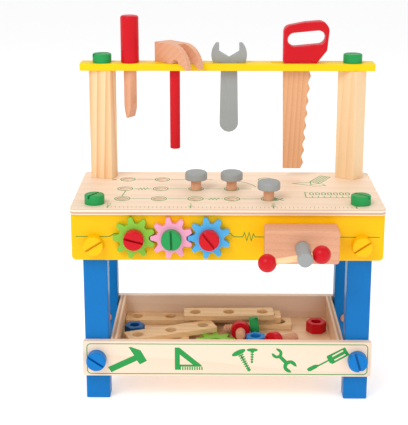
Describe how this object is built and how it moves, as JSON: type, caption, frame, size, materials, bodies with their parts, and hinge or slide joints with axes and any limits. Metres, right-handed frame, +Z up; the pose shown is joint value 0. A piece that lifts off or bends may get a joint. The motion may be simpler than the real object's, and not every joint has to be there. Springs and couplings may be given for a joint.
{
  "type": "toy workbench",
  "caption": "Toy workbench: peg-hole tabletop, meshing gears and a screw vise on its front, a parts tray between the legs and a shelf that holds wooden tools.",
  "frame": {"origin": "on the floor, at the centre of the whole bench's bounding box", "axes": "+Z up, +X to the right along the bench as seen from the front, +Y from the front to the back"},
  "size_m": [0.42, 0.2816, 0.516],
  "materials": {
    "blue_lacquer": "gloss",
    "yellow_lacquer": "gloss",
    "birch_plywood": "printed satin",
    "pine": "bare satin",
    "beech": "bare satin",
    "red_lacquer": "gloss",
    "green_lacquer": "gloss",
    "pink_lacquer": "gloss",
    "lime_lacquer": "gloss",
    "sky_lacquer": "gloss",
    "grey_lacquer": "gloss",
    "navy_lacquer": "gloss",
    "brown_wood": "bare satin"
  },
  "bodies": {
    "bench": {"leg_front_left": "blue_lacquer", "leg_front_right": "blue_lacquer", "leg_rear_left": "blue_lacquer", "leg_rear_right": "blue_lacquer", "tray_front_screws": "blue_lacquer", "tray_rear_screws": "blue_lacquer", "gear_nuts": "blue_lacquer", "front_apron": "yellow_lacquer", "rear_apron": "yellow_lacquer", "tool_shelf": "yellow_lacquer", "front_apron_screws": "yellow_lacquer", "rear_apron_screws": "yellow_lacquer", "tabletop": "birch_plywood", "tray_floor": "birch_plywood", "post_left": "pine", "post_right": "pine", "post_studs": "pine", "tray_front_board": "pine", "tray_rear_board": "pine", "tray_side_left": "pine", "tray_side_right": "pine", "tray_dowels": "pine", "beam_rear": "pine", "beam_bottom": "pine", "beam_middle": "pine", "beam_top": "pine", "beam_short": "pine", "beam_slanted": "pine", "vise_nut": "pine", "tabletop_screws": "green_lacquer", "shelf_screws": "green_lacquer", "gear_screw_middle": "green_lacquer", "loose_screw_green": "green_lacquer", "loose_gear": "lime_lacquer", "nut_blue": "sky_lacquer", "gear_screw_left": "red_lacquer", "gear_screw_right": "red_lacquer", "nut_red": "red_lacquer", "loose_screw_short": "red_lacquer", "loose_screw_red": "red_lacquer", "nut_navy": "navy_lacquer"},
    "left_gear": {"left_gear": "lime_lacquer"},
    "middle_gear": {"middle_gear": "pink_lacquer"},
    "right_gear": {"right_gear": "sky_lacquer"},
    "vise_jaw": {"vise_jaw": "beech", "vise_guide_pins": "beech"},
    "vise_screw": {"vise_screw": "grey_lacquer"},
    "vise_crossbar": {"vise_crossbar": "beech", "vise_crossbar_balls": "red_lacquer"},
    "peg_left": {"peg_left": "grey_lacquer"},
    "peg_middle": {"peg_middle": "grey_lacquer"},
    "peg_right": {"peg_right": "grey_lacquer"},
    "screwdriver": {"screwdriver_handle": "red_lacquer", "screwdriver_blade": "beech"},
    "hammer": {"hammer_head": "beech", "hammer_handle": "red_lacquer"},
    "wrench": {"wrench": "grey_lacquer"},
    "saw": {"saw_handle": "red_lacquer", "saw_blade": "brown_wood"}
  },
  "joints": [
    {"name": "middle_gear_spin", "type": "hinge", "parent": "bench", "child": "middle_gear", "pos_m": [-0.0745, -0.06175, 0.2405], "axis": [0, -1, 0], "continuous": true},
    {"name": "left_gear_spin", "type": "hinge", "parent": "bench", "child": "left_gear", "pos_m": [-0.1245, -0.06175, 0.2405], "axis": [0, -1, 0], "continuous": true},
    {"name": "right_gear_spin", "type": "hinge", "parent": "bench", "child": "right_gear", "pos_m": [-0.0245, -0.06175, 0.2405], "axis": [0, -1, 0], "continuous": true},
    {"name": "vise_jaw_slide", "type": "slide", "parent": "bench", "child": "vise_jaw", "axis": [0, -1, 0], "range_m": [0, 0.024]},
    {"name": "vise_screw_turn", "type": "hinge", "parent": "vise_jaw", "child": "vise_screw", "pos_m": [0.0975, -0.11175, 0.2365], "axis": [0, -1, 0], "range_deg": [0, 2160]},
    {"name": "vise_crossbar_slide", "type": "slide", "parent": "vise_screw", "child": "vise_crossbar", "axis": [0.986, 0, 0.1668], "range_m": [0, 0.026]},
    {"name": "peg_left_slide", "type": "slide", "parent": "bench", "child": "peg_left", "axis": [0, 0, 1], "range_m": [-0.0138, 0.032]},
    {"name": "peg_middle_slide", "type": "slide", "parent": "bench", "child": "peg_middle", "axis": [0, 0, 1], "range_m": [-0.0138, 0.032]},
    {"name": "peg_right_slide", "type": "slide", "parent": "bench", "child": "peg_right", "axis": [0, 0, 1], "range_m": [-0.0138, 0.032]},
    {"name": "screwdriver_lift", "type": "slide", "parent": "bench", "child": "screwdriver", "axis": [0, 0, 1], "range_m": [0, 0.085]},
    {"name": "hammer_lift", "type": "slide", "parent": "bench", "child": "hammer", "axis": [0, 0, 1], "range_m": [0, 0.13]},
    {"name": "wrench_lift", "type": "slide", "parent": "bench", "child": "wrench", "axis": [0, 0, 1], "range_m": [0, 0.105]},
    {"name": "saw_lift", "type": "slide", "parent": "bench", "child": "saw", "axis": [0, 0, 1], "range_m": [0, 0.165]}
  ],
  "couplings": [
    {"joint": "left_gear_spin", "follows": "middle_gear_spin", "ratio": -1},
    {"joint": "right_gear_spin", "follows": "middle_gear_spin", "ratio": -1},
    {"joint": "vise_jaw_slide", "follows": "vise_screw_turn", "m_per_rad": 0.000636}
  ]
}
